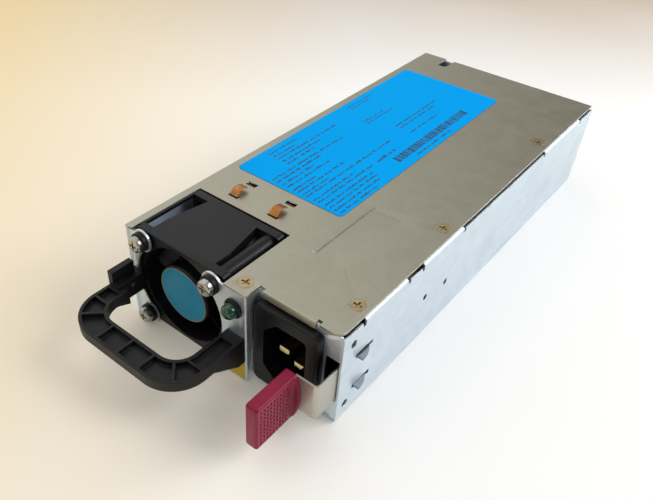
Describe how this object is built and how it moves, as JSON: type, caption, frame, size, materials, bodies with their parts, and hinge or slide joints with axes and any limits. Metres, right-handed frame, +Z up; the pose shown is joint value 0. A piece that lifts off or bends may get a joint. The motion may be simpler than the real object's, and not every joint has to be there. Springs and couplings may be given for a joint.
{
  "type": "hot swap server power supply",
  "caption": "Slim sheet-steel power supply module with a front fan, pull handle, mains inlet, status light, side release latch and rear card edge.",
  "frame": {"origin": "middle of the case's bottom face, without handle and card edge", "axes": "+X to the inlet side, +Y from the front panel to the rear card edge, +Z up through the top cover"},
  "size_m": [0.0882, 0.2327, 0.0411],
  "materials": {
    "galvanised": "satin",
    "cover_steel": "satin",
    "screw_steel": "polished",
    "cover_screw_steel": "satin",
    "spring_steel": "polished",
    "clip_bronze": "polished",
    "label_blue": "matte",
    "sticker_yellow": "matte",
    "label_teal": "satin",
    "handle_black": "matte",
    "fan_black": "matte",
    "rubber_black": "matte",
    "lens_green": "gloss",
    "inlet_black": "satin",
    "pin_brass": "polished",
    "grip_maroon": "satin",
    "magnet": "matte",
    "shaft_steel": "polished",
    "lamination": "satin",
    "copper": "satin",
    "circuit_green": "satin",
    "contact_gold": "polished",
    "insulator": "satin",
    "wire_black": "satin",
    "wire_red": "satin",
    "wire_green": "satin",
    "aluminium": "satin",
    "capacitor_sleeve": "satin",
    "ferrite": "matte",
    "film_yellow": "satin",
    "disc_blue": "satin",
    "fuse_glass": "gloss",
    "chip_black": "matte",
    "connector_white": "satin"
  },
  "bodies": {
    "psu_case": {"chassis_tray": "galvanised", "rear_panel": "galvanised", "front_left_flange": "galvanised", "front_panel": "galvanised", "top_cover": "cover_steel", "cover_screws": "cover_screw_steel", "cover_label": "label_blue", "front_sticker": "sticker_yellow", "pull_handle": "handle_black", "handle_pin": "screw_steel", "handle_screw": "screw_steel", "fan_frame": "fan_black", "fan_bearings": "shaft_steel", "fan_stator_core": "lamination", "fan_stator_coils": "copper", "fan_circuit_board": "circuit_green", "fan_screws": "screw_steel", "fan_grommets": "rubber_black", "fan_leads": "wire_red", "fan_connector": "connector_white", "lamp_lens": "lens_green", "lamp_bezel": "inlet_black", "lamp_leads": "wire_black", "inlet_housing": "inlet_black", "inlet_pins": "pin_brass", "mains_leads": "wire_black", "earth_lead": "wire_green", "earth_screw": "screw_steel", "latch_spring_foot": "spring_steel", "latch_rivets": "spring_steel", "main_board": "circuit_green", "card_edge_contacts": "contact_gold", "board_standoffs": "pin_brass", "board_screws": "screw_steel", "insulator_sheet": "insulator", "bulk_capacitor": "capacitor_sleeve", "transformer_core": "ferrite", "transformer_windings": "film_yellow", "choke_cores": "ferrite", "choke_windings": "copper", "mains_capacitors": "film_yellow", "safety_capacitors": "disc_blue", "fuse": "fuse_glass", "relay": "chip_black", "bridge_rectifier": "chip_black", "primary_heatsink": "aluminium", "primary_transistors": "chip_black", "secondary_heatsink": "aluminium", "secondary_transistors": "chip_black", "output_capacitors": "capacitor_sleeve", "control_board": "circuit_green"},
    "fan_wheel": {"fan_rotor": "fan_black", "fan_hub_label": "label_teal", "fan_magnet_ring": "magnet", "fan_shaft": "shaft_steel"},
    "release_latch": {"latch_spring_arm": "spring_steel", "latch_grip": "grip_maroon"},
    "left_clip": {"leaf_clip_left": "clip_bronze"},
    "right_clip": {"leaf_clip_right": "clip_bronze"}
  },
  "joints": [
    {"name": "fan_spin", "type": "hinge", "parent": "psu_case", "child": "fan_wheel", "pos_m": [-0.0194, -0.0869, 0.0198], "axis": [0, 1, 0], "continuous": true},
    {"name": "latch_squeeze", "type": "hinge", "parent": "psu_case", "child": "release_latch", "pos_m": [0.04165, -0.0475, 0.0179], "axis": [0, 0, -1], "range_deg": [0, 4], "stiffness_Nm_per_rad": 4},
    {"name": "left_clip_press", "type": "hinge", "parent": "psu_case", "child": "left_clip", "pos_m": [-0.0277, -0.0612, 0.0381], "axis": [-1, 0, 0], "range_deg": [0, 8], "stiffness_Nm_per_rad": 0.13},
    {"name": "right_clip_press", "type": "hinge", "parent": "psu_case", "child": "right_clip", "pos_m": [-0.0094, -0.0612, 0.0381], "axis": [-1, 0, 0], "range_deg": [0, 8], "stiffness_Nm_per_rad": 0.13}
  ]
}
